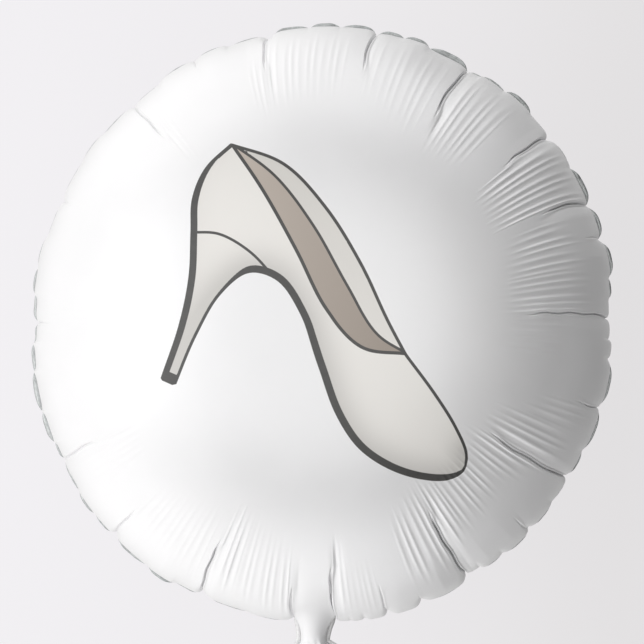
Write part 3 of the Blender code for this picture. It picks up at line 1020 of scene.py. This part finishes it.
def make_seal_foil():
    """The bare silver side of the foil, pressed and crackled in the seal."""
    wiring = Wiring("crackled_seal_foil")
    crackle = wiring.noise(900.0, 4.0, 0.65)
    broad = wiring.noise(160.0, 3.0)
    tone = wiring.fade(crackle, 0.35, 0.65, *SEAL_COLOURS)
    tone = wiring.mix(wiring.spread(broad, 0.4, 0.7, 0.0, 0.4), tone, grey(SEAL_GREY))
    whitened = wiring.fade(crackle, 0.3, 0.7, *map(grey, NECK_SEAL_GREYS))
    wiring.put(wiring.shader.inputs["Base Color"], wiring.mix(wiring.fact("neck"), tone, whitened))
    wiring.put(wiring.shader.inputs["Metallic"], wiring.spread(wiring.fact("neck"), 0.0, 1.0, 0.75, 0.30))
    wiring.put(wiring.shader.inputs["Roughness"], wiring.spread(broad, 0.3, 0.7, 0.38, 0.50))
    wiring.put(wiring.shader.inputs["Normal"], wiring.bump(crackle, 0.15, 0.0002))
    return wiring.material


def make_balloon():
    """The front with its print, the back and the seal between them."""
    points, faces, painted_crease_shade, flat_places, front_edge = sheet_mesh(1)
    facts = [("painted_crease_shade", painted_crease_shade), *print_facts(flat_places).items()]
    make_object("front_panel", points, faces, make_front_foil(), facts)
    points, faces, painted_crease_shade, _, back_edge = sheet_mesh(-1)
    make_object("back_panel", points, faces, make_back_foil(), [("painted_crease_shade", painted_crease_shade)])
    points, faces, on_neck = seal_mesh(front_edge, back_edge)
    make_object("seal_band", points, faces, make_seal_foil(), [("neck", on_neck)])


def make_light(name, place, size, power, colour):
    """A square soft light that faces the balloon."""
    data = bpy.data.lights.new(name, "AREA")
    data.shape = "SQUARE"
    data.size = size
    data.energy = power
    data.color = colour
    light = bpy.data.objects.new(name, data)
    light.location = place
    light.rotation_euler = (Vector(LIT_POINT) - Vector(place)).to_track_quat("-Z", "Y").to_euler()
    bpy.context.scene.collection.objects.link(light)


def make_floor():
    """Pale floor with a glow of painted light, brighter at the left, which neither lights the balloon nor
    shows in it.
    """
    wiring = Wiring("pale_floor")
    place = wiring.node("ShaderNodeTexCoord").outputs["Object"]
    across = wiring.node("ShaderNodeSeparateXYZ", inputs={"Vector": place}).outputs["X"]
    share = wiring.spread(across, -GLOW_HALF_WIDTH, GLOW_HALF_WIDTH, 0.0, 1.0)
    ramp = wiring.node("ShaderNodeValToRGB", inputs={"Fac": share})
    ramp.color_ramp.interpolation = "B_SPLINE"
    for stop, (where, colour) in enumerate(FLOOR_PAINTED_LIGHT):
        made = ramp.color_ramp.elements[stop] if stop < 2 else ramp.color_ramp.elements.new(where)
        made.position = where
        made.color = colour
    wiring.shader.inputs["Base Color"].default_value = grey(FLOOR_GREY)
    wiring.shader.inputs["Roughness"].default_value = 0.9
    wiring.shader.inputs["Specular IOR Level"].default_value = 0.0
    # The floor's glow is painted light, fading from the left to the right
    wiring.put(wiring.shader.inputs["Emission Color"], ramp.outputs["Color"])
    wiring.shader.inputs["Emission Strength"].default_value = 1.0
    half = FLOOR_HALF_WIDTH
    mesh = bpy.data.meshes.new("floor")
    corners = [(-half, -half, 0), (half, -half, 0), (half, half, 0), (-half, half, 0)]
    mesh.from_pydata(corners, [], [(0, 1, 2, 3)])
    mesh.materials.append(wiring.material)
    floor = bpy.data.objects.new("floor", mesh)
    floor.visible_diffuse = False
    floor.visible_glossy = False
    bpy.context.scene.collection.objects.link(floor)


def make_surrounding():
    """A dim even surrounding that is brighter on some sides."""
    world = bpy.data.worlds.new("even_surrounding")
    world.use_nodes = True
    tree = world.node_tree
    background = tree.nodes["Background"]
    background.inputs["Color"].default_value = SURROUNDING_COLOUR
    direction = tree.nodes.new("ShaderNodeTexCoord").outputs["Generated"]
    strength = tree.nodes.new("ShaderNodeValue").outputs[0]
    strength.default_value = SURROUNDING_STRENGTH
    for towards, narrowness, power in SURROUNDING_SIDES:
        facing = tree.nodes.new("ShaderNodeVectorMath")
        facing.operation = "DOT_PRODUCT"
        facing.inputs[1].default_value = towards
        tree.links.new(direction, facing.inputs[0])
        result = facing.outputs["Value"]
        for operation, value in (("MAXIMUM", 0.0), ("POWER", narrowness), ("MULTIPLY", power)):
            step = tree.nodes.new("ShaderNodeMath")
            step.operation = operation
            step.inputs[1].default_value = value
            tree.links.new(result, step.inputs[0])
            result = step.outputs[0]
        total = tree.nodes.new("ShaderNodeMath")
        tree.links.new(strength, total.inputs[0])
        tree.links.new(result, total.inputs[1])
        strength = total.outputs[0]
    tree.links.new(strength, background.inputs["Strength"])
    bpy.context.scene.world = world


def make_stage():
    """The floor, the surrounding and the soft lights."""
    make_floor()
    make_surrounding()
    for light in LIGHTS:
        make_light(*light)


def make_camera():
    """Straight above the front, turned as the photograph was taken."""
    data = bpy.data.cameras.new("camera")
    data.sensor_width = SENSOR_WIDTH
    data.lens = SENSOR_WIDTH * CAMERA_HEIGHT / VIEW_WIDTH
    data.clip_end = FARTHEST_SEEN
    camera = bpy.data.objects.new("camera", data)
    camera.location = (CAMERA_OFFSET[0], CAMERA_OFFSET[1], MID_HEIGHT + CAMERA_HEIGHT)
    camera.rotation_euler = (0, 0, math.radians(CAMERA_TURN))
    bpy.context.scene.collection.objects.link(camera)
    bpy.context.scene.camera = camera


def main():
    """Camera, stage and balloon, seen through the standard view transform."""
    make_camera()
    make_stage()
    make_balloon()
    bpy.context.scene.view_settings.view_transform = "Standard"


main()
